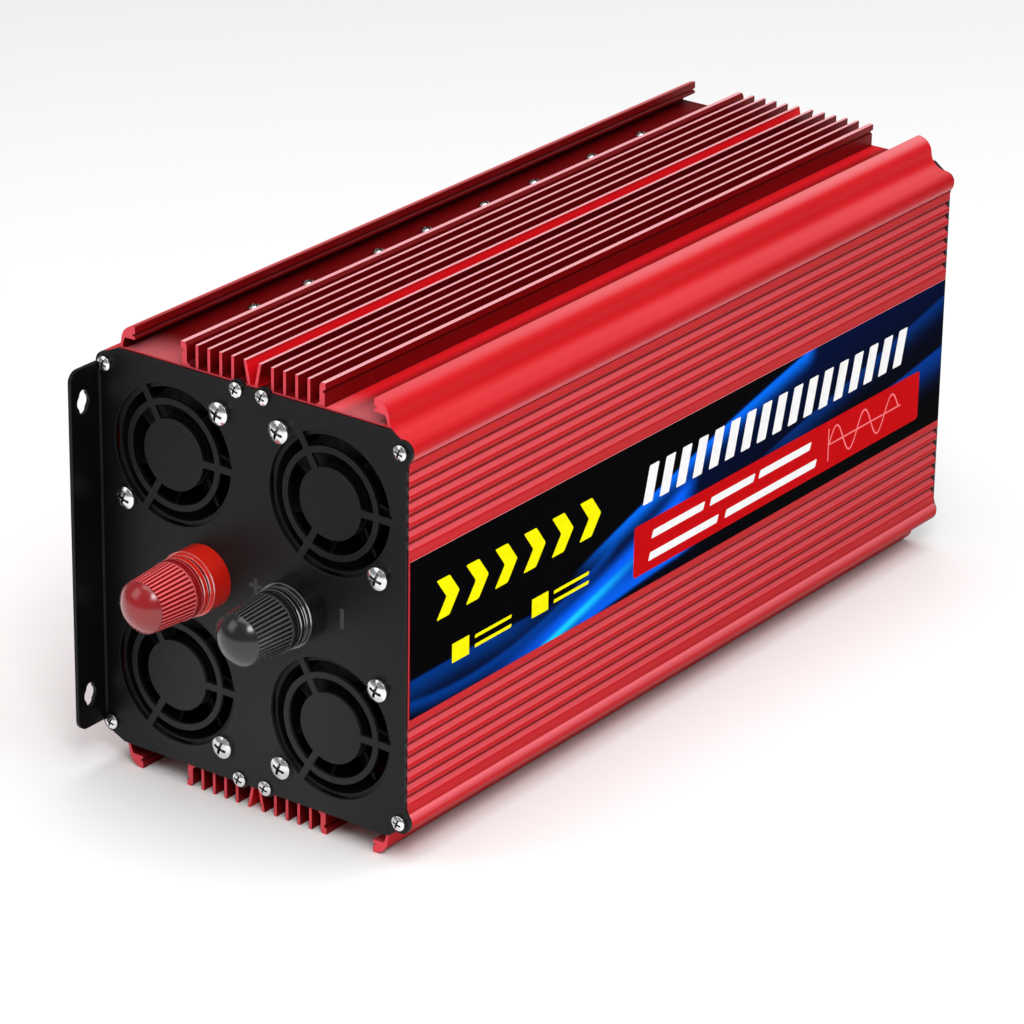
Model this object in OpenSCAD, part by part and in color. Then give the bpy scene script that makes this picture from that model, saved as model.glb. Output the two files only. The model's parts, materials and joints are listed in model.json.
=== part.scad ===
// Power inverter in a finned two-part extruded case.
// Units are millimetres, +Z is up, the terminal end faces -Y, the label side faces +X.
// The origin is under the middle of the overall box, on the plane the lower fins stand on.

/* [Case] */
// Length of the extruded case
body_length = 402; // [200:1:520]
// Half width at the side ribs
rib_half = 79.5; // [60:0.1:100]
// Half of the overall height, at the fin tips
half_height = 99.7; // [70:0.1:130]
// Height of the deck faces above the middle plane
deck_z = 89.6; // [60:0.1:120]
// Deck thickness
deck_t = 2.5; // [1.5:0.1:5]
// Pitch of the grooves along the sides
rib_pitch = 5.9; // [3:0.1:9]
// Waves above and below each label panel
rib_count = 7; // [3:1:9]
// Half height of the flat label panel
panel_half = 35.2; // [20:0.1:50]

/* [Fins] */
// Thickness of the thin fins
fin_t = 1.4; // [0.8:0.1:3]
// Pitch of the thin fins
fin_pitch = 6.15; // [4:0.05:9]
// Distance of the first thin fin from the middle
fin_first = 10.2; // [6:0.1:14]

/* [End plates] */
// Sheet thickness of the end plates
plate_t = 1.6; // [1:0.1:3]
// Top edge of the plates above the middle plane
plate_top = 88.9; // [60:0.1:110]
// Depth of the bent mounting flange
flange_depth = 17.5; // [12:0.1:30]
// Half height of the bent mounting flange
flange_half = 80.9; // [40:0.1:86]
// Spacing of the mounting slots
slot_spacing = 132; // [60:1:150]
// Width of the mounting slots
slot_w = 4.8; // [3:0.1:7]
// Overall length of the mounting slots
slot_len = 10.8; // [7:0.1:16]
// Diameter of the wide middle of each slot
slot_mid_d = 7.4; // [5:0.1:10]

/* [Fans] */
// Distance of the fan centres from the middle, sideways
fan_x = 40.5; // [32:0.1:48]
// Distance of the fan centres from the middle, upwards
fan_z = 49.5; // [32:0.1:56]
// Outer size of each fan frame
fan_size = 60; // [40:1:80]
// Depth of each fan frame
fan_depth = 25; // [15:1:38]
// Hole spacing of each fan
fan_holes = 50; // [32:1:71]
// Blades on each rotor
blade_count = 7; // [5:1:11]

/* [Terminals] */
// Distance of the terminals from the middle
term_x = 25; // [18:0.5:40]
// Diameter of the terminal stud
stud_d = 8; // [6:0.5:12]
// Diameter of the insulating base
base_d = 28; // [20:0.5:36]
// Length of the insulating base
base_len = 11.5; // [6:0.5:16]
// Radius of the knob collar
knob_r = 13; // [9:0.1:18]
// Flutes round the knob
flute_count = 40; // [10:1:48]

/* [Hidden] */
x_out = 81.2;
ext0 = plate_t;
ext1 = plate_t + body_length;
y_rear = ext1 + plate_t;
knob_tip = 45.5;
y_mid = (y_rear + flange_depth - knob_tip) / 2;
nose_x = 76.2;
nose_z = 80.95;
nose_r = 5;
scr_x = 76;
scr_z = 81;
slot_y = -10;
wave_r = 0.2915 * rib_pitch;
wave_mid = rib_half - wave_r / 2;
wing_x = 61.4;
wing_r = 7.2;
wing_z = half_height - wing_r;
dip_x = 76;
dip_z = 93.35;
dip_r = 7.43;
mid_x = 6.8;
mid_z = 86.8;
fit = 0.05;
board_z = 60;
board_t = 1.8;
clamp_x = -52;
clamp_y = [67, 103, 151, 185, 227, 264, 308, 347];
out_x = 40;
sw_z = 13;
tilt = 10;

// Sub-part to show

// ---- helpers -------------------------------------------------------------

// Moves a body drawn about the front plate's face into the part's own frame.
module placed() {
    translate([0, -y_mid, half_height])
        children();
}

// Extrudes an x-z outline from y0 to y1.
module along_y(y0, y1) {
    translate([0, y1, 0])
        rotate([90, 0, 0])
            linear_extrude(height = y1 - y0)
                children();
}

module both_sides() {
    children();
    mirror([1, 0, 0])
        children();
}

// A round body along Y at (x, z).
module rod(x, z, y0, y1, r, fn = 32) {
    translate([x, y1, z])
        rotate([90, 0, 0])
            cylinder(h = y1 - y0, r = r, $fn = fn);
}

module box(lo, hi) {
    translate(lo)
        cube([hi[0] - lo[0], hi[1] - lo[1], hi[2] - lo[2]]);
}

// ---- case ----------------------------------------------------------------

// The curled wing: a round outer corner over a foot, hollowed from the inside.
module wing_2d() {
    difference() {
        union() {
            intersection() {
                translate([wing_x, wing_z])
                    circle(r = wing_r, $fn = 96);
                translate([wing_x - 0.15, wing_z])
                    square(wing_r + 1);
            }
            translate([66, deck_z - 1])
                square([4.5, wing_z - deck_z + 1.42]);
        }
        polygon([[60, 88], [67.9, 88], [67.7, 91.1], [67.2, 92.6], [66.6, 93.9], [60, 94.1]]);
        polygon([[60, 95.2], [61.3, 95.2], [62.5, 95.6], [62.5, 96.2], [61.3, 96.5], [60, 96.5]]);
    }
}

module outer_fin_2d() {
    polygon([[30.6, deck_z - 1], [36.6, deck_z - 1], [36.6, 95.2], [35.8, 95.5],
             [35.8, 96.4], [37, 96.9], [37, half_height], [34.9, half_height], [34, 98.2],
             [34, deck_z + 1.6]]);
}

module middle_fin_2d() {
    polygon([[0.9, deck_z - 0.6], [2.4, deck_z - 0.6], [4.6, half_height], [3.2, half_height]]);
}

module fins_2d() {
    for (i = [0 : 3])
        translate([fin_first + i * fin_pitch - fin_t / 2, deck_z - 1])
            square([fin_t, half_height - deck_z + 1]);
    outer_fin_2d();
    middle_fin_2d();
}

// Outline of the right half, with the wavy side and the dip between wing and nose.
module outline_half_2d() {
    crest = panel_half + 2.85;
    difference() {
        union() {
            polygon([[-1, 0.1], [79.2, 0.1], [79.2, panel_half], [wave_mid, panel_half],
                     [wave_mid, 76.4], [77.7, 77.5], [77.7, nose_z], [dip_x, 85.5],
                     [dip_x, deck_z], [-1, deck_z]]);
            wing_2d();
        }
        translate([dip_x, dip_z])
            circle(r = dip_r, $fn = 96);
        for (i = [0 : rib_count - 2])
            translate([rib_half, crest + rib_pitch * (i + 0.5)])
                circle(r = wave_r, $fn = 48);
    }
    translate([nose_x, nose_z])
        circle(r = nose_r, $fn = 96);
    for (i = [0 : rib_count - 1])
        translate([rib_half - wave_r, crest + rib_pitch * i])
            circle(r = wave_r, $fn = 48);
    translate([78, panel_half])
        square([rib_half - 78.08, 2.85]);
    translate([78, crest + rib_pitch * (rib_count - 1)])
        square([rib_half - 78.08, 3]);
}

module inside_half_2d() {
    polygon([[-2, -1], [76.3, -1], [76.3, 73.8], [71.2, 78.6], [70, 82.5], [68.2, 85.2],
             [65, deck_z - deck_t], [-2, deck_z - deck_t]]);
}

module half_case_2d() {
    both_sides() {
        difference() {
            outline_half_2d();
            inside_half_2d();
        }
        intersection() {
            translate([mid_x, mid_z])
                circle(r = 3.2, $fn = 32);
            translate([0, 80])
                square([20, deck_z - 80]);
        }
        fins_2d();
    }
}

module case_bores() {
    for (s = [-1, 1]) {
        rod(s * scr_x, scr_z, ext0 - 1, ext1 + 1, 1.6);
        rod(s * mid_x, mid_z, ext0 - 1, ext1 + 1, 1.6);
    }
    for (y = clamp_y)
        translate([clamp_x, y, deck_z - 6])
            cylinder(h = 8, r = 1.8, $fn = 28);
}

module upper_shell_raw() {
    difference() {
        along_y(ext0, ext1)
            half_case_2d();
        case_bores();
    }
}

module upper_shell() {
    color([0.78, 0.03, 0.05])
        placed()
            upper_shell_raw();
}

module lower_shell() {
    color([0.78, 0.03, 0.05])
        placed() {
            mirror([0, 0, 1])
                upper_shell_raw();
            for (s = [-1, 1])
                along_y(ext0, ext1)
                    polygon([[s * 76.3, -8], [s * 76.4, -8], [s * 76.4, -0.5], [s * 76.1, -0.3],
                             [s * 76.1, 6], [s * 74.8, 6], [s * 74.8, -8]]);
        }
}

module side_label() {
    color([0.05, 0.08, 0.14])
        placed()
            box([79.2, ext0 + 0.3, -panel_half + 0.2], [79.5, ext1 - 0.3, panel_half - 1]);
}

// ---- end plates ----------------------------------------------------------

module plate_half_2d(ear_r) {
    polygon([[-1, -plate_top], [70, -plate_top], [72.3, -87.1], [75.6, -84.9], [77, -76],
             [78.5, -75], [78.5, 75], [77, 76], [75.6, 84.9], [72.3, 87.1], [70, plate_top],
             [-1, plate_top]]);
    for (s = [-1, 1]) {
        translate([nose_x, s * nose_z])
            circle(r = ear_r, $fn = 96);
        translate([mid_x, s * mid_z])
            circle(r = 4.2, $fn = 32);
    }
    ex = nose_x + 0.74 * ear_r;
    ez = nose_z - 0.67 * ear_r;
    polygon([[78.5, 75], [ex, ez], [76, 80], [76, 74]]);
    polygon([[78.5, -75], [76, -74], [76, -80], [ex, -ez]]);
}

module plate_2d(ear_r) {
    difference() {
        union() {
            both_sides()
                plate_half_2d(ear_r);
            polygon([[-70, plate_top], [-nose_x, nose_z + ear_r], [-72, 84]]);
            polygon([[-70, -plate_top], [-72, -84], [-nose_x, -nose_z - ear_r]]);
        }
        translate([-x_out - 2, -flange_half])
            square([4.4, 2 * flange_half]);
        for (sx = [-1, 1])
            for (sz = [-1, 1]) {
                translate([sx * scr_x, sz * scr_z])
                    circle(r = 1.9, $fn = 28);
                translate([sx * mid_x, sz * mid_z])
                    circle(r = 1.9, $fn = 28);
            }
    }
}

// The bend and the flange along the left edge, pointing towards -Y.
module flange() {
    difference() {
        union() {
            translate([-78.8, -0.8, -flange_half])
                intersection() {
                    difference() {
                        cylinder(h = 2 * flange_half, r = plate_t + 0.8, $fn = 40);
                        translate([0, 0, -1])
                            cylinder(h = 2 * flange_half + 2, r = 0.8, $fn = 40);
                    }
                    translate([-4, 0, 0])
                        cube([4, 4, 2 * flange_half]);
                }
            translate([-x_out, 0, 0])
                rotate([90, 0, 90])
                    linear_extrude(height = plate_t)
                        flange_2d();
        }
        for (s = [-1, 1]) {
            slot_cut(s * slot_spacing / 2);
            rod(-scr_x, s * scr_z, -5, 0, 3.4);
        }
    }
}

module flange_2d() {
    difference() {
        translate([-flange_depth, -flange_half])
            square([flange_depth - 0.8, 2 * flange_half]);
        for (s = [-1, 1])
            difference() {
                translate([-flange_depth - 1, s * (flange_half - 2) - 3])
                    square([6, 6]);
                translate([-flange_depth + 5, s * (flange_half - 5)])
                    circle(r = 5, $fn = 40);
            }
    }
}

module slot_cut(z) {
    for (s = [-1, 1])
        translate([-x_out - 1, slot_y, z + s * (slot_len - slot_w) / 2])
            rotate([0, 90, 0])
                cylinder(h = 4, r = slot_w / 2, $fn = 28);
    translate([-x_out - 1, slot_y, z])
        rotate([0, 90, 0])
            cylinder(h = 4, r = slot_mid_d / 2, $fn = 32);
    box([-x_out - 1, slot_y - slot_w / 2, z - (slot_len - slot_w) / 2],
        [-x_out + 3, slot_y + slot_w / 2, z + (slot_len - slot_w) / 2]);
}

module grille_2d() {
    difference() {
        circle(r = 31, $fn = 72);
        circle(r = 15.5, $fn = 48);
        difference() {
            circle(r = 24.3, $fn = 60);
            circle(r = 21.7, $fn = 60);
        }
        for (a = [0, 120, 240])
            rotate(a)
                translate([0, -1.5])
                    square([32, 3]);
    }
}

module fan_places() {
    for (sx = [-1, 1])
        for (sz = [-1, 1])
            translate([sx * fan_x, 0, sz * fan_z])
                children();
}

// The two screws of each fan lie on one diagonal.
module fan_screw_places() {
    h = fan_holes / 2;
    for (p = [[-1, 1, 1], [1, 1, -1], [-1, -1, -1], [1, -1, 1]])
        for (s = [-1, 1])
            translate([p[0] * fan_x + s * h, 0, p[1] * fan_z + s * p[2] * h])
                children();
}

module front_plate() {
    color([0.05, 0.05, 0.055])
        placed() {
            difference() {
                along_y(0, plate_t)
                    difference() {
                        plate_2d(nose_r);
                        for (sx = [-1, 1])
                            for (sz = [-1, 1])
                                translate([sx * fan_x, sz * fan_z])
                                    grille_2d();
                    }
                fan_screw_places()
                    rod(0, 0, -1, plate_t + 1, 2.2, 28);
                for (s = [-1, 1])
                    rod(s * term_x, 0, -1, plate_t + 1, 8.2, 40);
            }
            flange();
        }
}

module rear_plate() {
    color([0.05, 0.05, 0.055])
        placed() {
            difference() {
                along_y(ext1, y_rear)
                    plate_2d(nose_r - 0.9);
                for (s = [-1, 1])
                    box([s * out_x - 15.5, ext1 - 1, -15.5], [s * out_x + 15.5, y_rear + 1, 15.5]);
                box([-10.9, ext1 - 1, sw_z - 14.1], [10.9, y_rear + 1, sw_z + 14.1]);
                box([-7.4, ext1 - 1, -32.9], [7.4, y_rear + 1, -25.1]);
                for (s = [-1, 1])
                    rod(s * 7, -13, ext1 - 1, y_rear + 1, 2.6, 28);
                for (sz = [-1, 1])
                    for (i = [-8 : 8])
                        if (sz > 0 || abs(i) > 1)
                            vent(i * 7.6, sz * 57);
            }
            translate([0, y_rear, 0])
                mirror([0, 1, 0])
                    flange();
        }
}

module vent(x, z) {
    rod(x, z - 13, ext1 - 1, y_rear + 1, 1.7, 24);
    rod(x, z + 13, ext1 - 1, y_rear + 1, 1.7, 24);
    box([x - 1.7, ext1 - 1, z - 13], [x + 1.7, y_rear + 1, z + 13]);
}

// ---- fasteners -----------------------------------------------------------

// A pan-head screw along +Y with a cross recess, its head standing out in front of y = 0.
module cross_screw(head_r, head_h, shank_r, len) {
    rise = 0.44 * head_h;
    ball = (head_r * head_r + rise * rise) / (2 * rise);
    difference() {
        union() {
            intersection() {
                translate([0, ball - head_h, 0])
                    sphere(r = ball, $fn = 64);
                rotate([90, 0, 0])
                    cylinder(h = head_h + 1, r = head_r, $fn = 48);
            }
            rotate([-90, 0, 0])
                cylinder(h = len, r = shank_r, $fn = 28);
        }
        for (a = [20, 110])
            rotate([0, a, 0])
                translate([-head_r * 0.62, -head_h - 1, -head_r * 0.13])
                    cube([head_r * 1.24, 1 + head_h * 0.62, head_r * 0.26]);
    }
}

module end_plate_screws() {
    color([0.85, 0.85, 0.86])
        placed()
            for (sx = [-1, 1])
                for (sz = [-1, 1]) {
                    translate([sx * scr_x, 0, sz * scr_z])
                        cross_screw(3.25, 2.4, 1.5, 11);
                    translate([sx * mid_x, 0, sz * mid_z])
                        cross_screw(3.25, 2.4, 1.5, 11);
                    translate([sx * scr_x, y_rear, sz * scr_z])
                        mirror([0, 1, 0])
                            cross_screw(3.25, 2.4, 1.5, 11);
                    translate([sx * mid_x, y_rear, sz * mid_z])
                        mirror([0, 1, 0])
                            cross_screw(3.25, 2.4, 1.5, 11);
                }
}

module fan_screws() {
    color([0.85, 0.85, 0.86])
        placed()
            fan_screw_places()
                cross_screw(4.9, 3.4, 2, fan_depth + 6.5);
}

module fan_nuts() {
    color([0.8, 0.8, 0.8])
        placed()
            fan_screw_places()
                difference() {
                    rod(0, 0, plate_t + fan_depth, plate_t + fan_depth + 3.2, 4.04, 6);
                    rod(0, 0, plate_t + fan_depth - 1, plate_t + fan_depth + 5, 2.03, 28);
                }
}

// ---- fans ----------------------------------------------------------------

module fan_frame_raw() {
    y0 = plate_t;
    y1 = plate_t + fan_depth;
    h = fan_size / 2;
    difference() {
        union() {
            for (y = [y0, y1 - 3.6])
                along_y(y, y + 3.6)
                    offset_square(h);
            rod(0, 0, y0, y1, h, 64);
            for (sx = [-1, 1])
                for (sz = [-1, 1])
                    rod(sx * fan_holes / 2, sz * fan_holes / 2, y0, y1, 3.6, 28);
        }
        rod(0, 0, y0 - 1, y1 + 1, h - 1.2, 64);
        for (sx = [-1, 1])
            for (sz = [-1, 1])
                rod(sx * fan_holes / 2, sz * fan_holes / 2, y0 - 1, y1 + 1, 2.15, 28);
    }
    difference() {
        union() {
            rod(0, 0, y1 - 2.2, y1, 15, 48);
            for (a = [0, 90, 180, 270])
                rotate([0, a + 45, 0])
                    box([12, y1 - 3, -1.2], [h - 0.8, y1, 1.2]);
            rod(0, 0, y0 + 9, y1, 3.4, 32);
        }
        rod(0, 0, y0 + 8, y1 - 1, 1.5 + fit, 28);
    }
}

// A square plate with cut corners, drawn with straight edges.
module offset_square(h) {
    c = 2.2;
    polygon([[-h + c, -h], [h - c, -h], [h, -h + c], [h, h - c], [h - c, h], [-h + c, h],
             [-h, h - c], [-h, -h + c]]);
}

module fan_frame(sx, sz) {
    color([0.07, 0.07, 0.075])
        placed()
            translate([sx * fan_x, 0, sz * fan_z])
                fan_frame_raw();
}

module fan_frame_ul() { fan_frame(-1, 1); }
module fan_frame_ur() { fan_frame(1, 1); }
module fan_frame_ll() { fan_frame(-1, -1); }
module fan_frame_lr() { fan_frame(1, -1); }

// One curved blade, drawn as a bowed strip that runs outwards from the hub.
module blade() {
    ym = plate_t + 11.5;
    translate([0, ym, 9])
        linear_extrude(height = 17.2)
            rotate(38)
                polygon([[-8.6, -1.1], [-4.4, 0.3], [0, 0.8], [4.4, 0.3], [8.6, -1.1],
                         [8.6, 0], [4.4, 1.5], [0, 2], [-4.4, 1.5], [-8.6, 0]]);
}

module fan_rotor_raw() {
    y0 = plate_t + 3;
    difference() {
        union() {
            rod(0, 0, y0, y0 + 17, 15.4, 56);
            for (i = [0 : blade_count - 1])
                rotate([0, i * 360 / blade_count, 0])
                    blade();
        }
        rod(0, 0, y0 + 1.6, y0 + 30, 13.9, 56);
    }
    rod(0, 0, y0 + 1, plate_t + fan_depth - 2, 1.5, 28);
}

module fan_rotor(sx, sz) {
    color([0.09, 0.09, 0.1])
        placed()
            translate([sx * fan_x, 0, sz * fan_z])
                fan_rotor_raw();
}

module fan_rotor_ul() { fan_rotor(-1, 1); }
module fan_rotor_ur() { fan_rotor(1, 1); }
module fan_rotor_ll() { fan_rotor(-1, -1); }
module fan_rotor_lr() { fan_rotor(1, -1); }

module fan_stators() {
    y0 = plate_t + 10;
    color([0.6, 0.32, 0.12])
        placed()
            fan_places()
                difference() {
                    union() {
                        rod(0, 0, y0, y0 + 10, 5.5, 32);
                        for (a = [0 : 60 : 300])
                            rotate([0, a, 0])
                                box([4, y0 + 1.5, -1.6], [12.4, y0 + 8.5, 1.6]);
                    }
                    rod(0, 0, y0 - 1, y0 + 12, 3.45, 32);
                }
}

// ---- terminals -----------------------------------------------------------

module term_base() {
    difference() {
        union() {
            rod(0, 0, -base_len, 0, base_d / 2, 56);
            rod(0, 0, -1, plate_t + 3.6, 8, 40);
        }
        rod(0, 0, -base_len - 1, plate_t + 6, stud_d / 2 + fit, 36);
        difference() {
            rod(0, 0, -base_len - 1, -base_len + 1.2, base_d / 2 + 2, 56);
            rod(0, 0, -base_len - 2, -base_len + 2, base_d / 2 - 1.2, 56);
        }
    }
}

module term_stud() {
    rod(0, 0, -37, 20, stud_d / 2, 36);
    rod(0, 0, plate_t + 3.6, plate_t + 6.4, 10.5, 36);
}

module term_ring() {
    difference() {
        rod(0, 0, -15.6, -13.1, 13.2, 56);
        rod(0, 0, -17, -12, 6.1 + fit, 36);
    }
}

module term_knob() {
    difference() {
        union() {
            rod(0, 0, -19.6, -16.7, knob_r, 56);
            translate([0, -19.6, 0])
                rotate([90, 0, 0])
                    cylinder(h = 20, r1 = 12.8, r2 = 11.3, $fn = 72);
            intersection() {
                translate([0, -32.4, 0])
                    sphere(r = 13.1, $fn = 64);
                rod(0, 0, -knob_tip, -39.6, 10.9, 56);
            }
            rod(0, 0, -17, -12.9, 6.1, 36);
            rod(0, 0, -12.9, -12.1, 7, 36);
        }
        for (i = [0 : flute_count - 1])
            rotate([0, i * 360 / flute_count, 0])
                translate([0, -20.4, 12.95])
                    rotate([94.3, 0, 0])
                        cylinder(h = 24, r = 0.55, $fn = 16);
        rod(0, 0, -38.2, -17.6, 7 + fit, 36);
        rod(0, 0, -40, -11, stud_d / 2 + 0.4, 36);
    }
}

module term_insert() {
    difference() {
        rod(0, 0, -38, -17.8, 7, 36);
        rod(0, 0, -39, -16, stud_d / 2 + fit, 36);
    }
}

module red_base() {
    color([0.75, 0.03, 0.04])
        placed()
            translate([-term_x, 0, 0])
                term_base();
}

module black_base() {
    color([0.03, 0.03, 0.03])
        placed()
            translate([term_x, 0, 0])
                term_base();
}

module red_stud() {
    color([0.8, 0.66, 0.32])
        placed()
            translate([-term_x, 0, 0])
                term_stud();
}

module black_stud() {
    color([0.8, 0.66, 0.32])
        placed()
            translate([term_x, 0, 0])
                term_stud();
}

module red_ring() {
    color([0.75, 0.03, 0.04])
        placed()
            translate([-term_x, 0, 0])
                term_ring();
}

module black_ring() {
    color([0.03, 0.03, 0.03])
        placed()
            translate([term_x, 0, 0])
                term_ring();
}

module red_knob() {
    color([0.75, 0.03, 0.04])
        placed()
            translate([-term_x, 0, 0])
                term_knob();
}

module black_knob() {
    color([0.03, 0.03, 0.03])
        placed()
            translate([term_x, 0, 0])
                term_knob();
}

module red_insert() {
    color([0.8, 0.66, 0.32])
        placed()
            translate([-term_x, 0, 0])
                term_insert();
}

module black_insert() {
    color([0.8, 0.66, 0.32])
        placed()
            translate([term_x, 0, 0])
                term_insert();
}

module terminal_nuts() {
    color([0.8, 0.8, 0.8])
        placed()
            for (s = [-1, 1])
                difference() {
                    rod(s * term_x, 0, 11, 17, 7.5, 6);
                    rod(s * term_x, 0, 10, 18, stud_d / 2 + 0.03, 36);
                }
}

// A strip from the stud to both boards.
module bus(s) {
    x0 = s * term_x - 10;
    x1 = s * term_x + 10;
    difference() {
        union() {
            box([x0, 8, -10.5], [x1, 11, 10.5]);
            box([x0, 8, -10.5], [x1, 49, -7.5]);
            box([x0, 46, -board_z], [x1, 49, board_z]);
        }
        rod(s * term_x, 0, 7, 12, stud_d / 2 + 0.3, 36);
    }
}

module positive_bus() {
    color([0.8, 0.42, 0.25])
        placed()
            bus(-1);
}

module negative_bus() {
    color([0.8, 0.42, 0.25])
        placed()
            bus(1);
}

// ---- boards and what they carry --------------------------------------------

module spacer_places() {
    for (x = [-61.2, 61.2])
        for (y = [44, 187, 386])
            translate([x, y, 0])
                children();
}

module board_raw() {
    difference() {
        box([-68, 38, -board_z - board_t], [68, 392, -board_z]);
        spacer_places()
            translate([0, 0, -board_z - 3])
                cylinder(h = 6, r = 1.7, $fn = 24);
    }
}

module lower_board() {
    color([0.1, 0.35, 0.16])
        placed()
            board_raw();
}

module upper_board() {
    color([0.1, 0.35, 0.16])
        placed()
            mirror([0, 0, 1])
                board_raw();
}

module up_and_down() {
    children();
    mirror([0, 0, 1])
        children();
}

module board_spacers() {
    zb = -deck_z + deck_t;
    color([0.78, 0.66, 0.34])
        placed()
            up_and_down()
                spacer_places()
                    difference() {
                        translate([0, 0, zb])
                            cylinder(h = -board_z - board_t - zb, r = 3.4, $fn = 6);
                        translate([0, 0, -board_z - 14])
                            cylinder(h = 14, r = 1.5, $fn = 24);
                    }
}

module board_screws() {
    color([0.8, 0.8, 0.8])
        placed()
            up_and_down()
                spacer_places() {
                    translate([0, 0, -board_z])
                        cylinder(h = 2, r = 2.8, $fn = 28);
                    translate([0, 0, -board_z - 10])
                        cylinder(h = 11, r = 1.45, $fn = 24);
                }
}

module core_raw(y) {
    difference() {
        box([-30, y - 24, -board_z + 6], [30, y + 24, -board_z + 44]);
        box([-21, y - 25, -board_z + 12], [21, y + 25, -board_z + 38]);
    }
    rod(0, -board_z + 25, y - 24, y + 24, 10, 36);
}

module winding_raw(y) {
    difference() {
        union() {
            rod(0, -board_z + 25, y - 22, y + 22, 12.6, 48);
            rod(0, -board_z + 25, y - 22, y - 20, 12.9, 48);
            rod(0, -board_z + 25, y + 20, y + 22, 12.9, 48);
        }
        rod(0, -board_z + 25, y - 25, y + 25, 10.1, 36);
    }
    for (s = [-1, 1])
        for (i = [-2 : 2])
            box([i * 7 - 0.6, y + s * 25.6 - 0.6, -board_z], [i * 7 + 0.6, y + s * 25.6 + 0.6, -board_z + 5]);
    for (s = [-1, 1])
        box([-20, y + s * 25.6 - 1.2, -board_z + 4], [20, y + s * 25.6 + 1.2, -board_z + 9]);
}

module core_front_lower() { color([0.2, 0.2, 0.21]) placed() core_raw(165); }
module core_rear_lower() { color([0.2, 0.2, 0.21]) placed() core_raw(245); }
module core_front_upper() { color([0.2, 0.2, 0.21]) placed() mirror([0, 0, 1]) core_raw(165); }
module core_rear_upper() { color([0.2, 0.2, 0.21]) placed() mirror([0, 0, 1]) core_raw(245); }
module winding_front_lower() { color([0.85, 0.65, 0.1]) placed() winding_raw(165); }
module winding_rear_lower() { color([0.85, 0.65, 0.1]) placed() winding_raw(245); }
module winding_front_upper() { color([0.85, 0.65, 0.1]) placed() mirror([0, 0, 1]) winding_raw(165); }
module winding_rear_upper() { color([0.85, 0.65, 0.1]) placed() mirror([0, 0, 1]) winding_raw(245); }

module can(x, y, r, h) {
    translate([x, y, -board_z])
        cylinder(h = h, r = r, $fn = 40);
}

module input_capacitors() {
    color([0.08, 0.1, 0.28])
        placed()
            for (y = [66, 88, 110])
                for (x = [-6, 16, 38, 60])
                    can(x, y, 9, 36);
}

module link_capacitors() {
    color([0.08, 0.08, 0.09])
        placed()
            mirror([0, 0, 1])
                for (y = [74, 110])
                    for (x = [-2, 34])
                        can(x, y, 15, 44);
}

// A row of power transistors lying against the inside of the deck.
module transistor_row() {
    zt = deck_z - deck_t;
    for (i = [0 : len(clamp_y) - 2])
        for (s = [-1, 1]) {
            y = (clamp_y[i] + clamp_y[i + 1]) / 2 + s * 7.7;
            box([-63, y - 7.4, zt - 5], [-42.5, y + 7.4, zt]);
            for (k = [-1, 0, 1]) {
                box([-43, y + k * 5.1 - 0.6, zt - 3.2], [-39, y + k * 5.1 + 0.6, zt - 2.4]);
                box([-39.8, y + k * 5.1 - 0.6, board_z + board_t], [-39, y + k * 5.1 + 0.6, zt - 2.4]);
            }
        }
}

module upper_transistors() { color([0.1, 0.1, 0.1]) placed() transistor_row(); }
module lower_transistors() { color([0.1, 0.1, 0.1]) placed() mirror([0, 0, 1]) transistor_row(); }

module clamp_bar() {
    zt = deck_z - deck_t - 5;
    difference() {
        box([clamp_x - 5, 60, zt - 4], [clamp_x + 5, 354, zt]);
        for (y = clamp_y)
            translate([clamp_x, y, zt - 6])
                cylinder(h = 8, r = 1.55, $fn = 24);
    }
}

module upper_clamp_bar() { color([0.7, 0.7, 0.72]) placed() clamp_bar(); }
module lower_clamp_bar() { color([0.7, 0.7, 0.72]) placed() mirror([0, 0, 1]) clamp_bar(); }

module clamp_screws() {
    color([0.85, 0.85, 0.86])
        placed()
            up_and_down()
                for (y = clamp_y)
                    translate([clamp_x, y, deck_z])
                        rotate([-90, 0, 0])
                            cross_screw(3.2, 2.4, 1.5, 13);
}

module blade_fuses() {
    color([0.9, 0.45, 0.08])
        placed()
            for (i = [0 : 5]) {
                box([-34, 62 + i * 12, -board_z + 7], [-16, 67 + i * 12, -board_z + 19]);
                for (x = [-32, -21])
                    box([x, 64 + i * 12, -board_z], [x + 3, 65 + i * 12, -board_z + 8]);
            }
}

module output_choke() {
    color([0.72, 0.36, 0.16])
        placed()
            translate([0, 312, -board_z + 13])
                rotate_extrude($fn = 64)
                    translate([18, 0])
                        circle(r = 9, $fn = 28);
}

// ---- rear panel ------------------------------------------------------------

module outlet_raw(x) {
    difference() {
        union() {
            box([x - 18, y_rear, -18], [x + 18, y_rear + 3, 18]);
            box([x - 15.3, y_rear - 26, -15.3], [x + 15.3, y_rear, 15.3]);
        }
        for (s = [-1, 1])
            box([x + s * 6.35 - 1.15, y_rear - 20, -0.4], [x + s * 6.35 + 1.15, y_rear + 4, 8]);
        rod(x, -8.3, y_rear - 20, y_rear + 4, 2.6, 32);
        for (s = [-1, 1])
            box([x + s * 6.35 - 2.6, y_rear - 27, -1.6], [x + s * 6.35 + 2.6, y_rear - 4, 9.2]);
        rod(x, -8.3, y_rear - 27, y_rear - 4, 4, 32);
    }
}

module outlet_left() { color([0.09, 0.09, 0.1]) placed() outlet_raw(-out_x); }
module outlet_right() { color([0.09, 0.09, 0.1]) placed() outlet_raw(out_x); }

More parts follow.
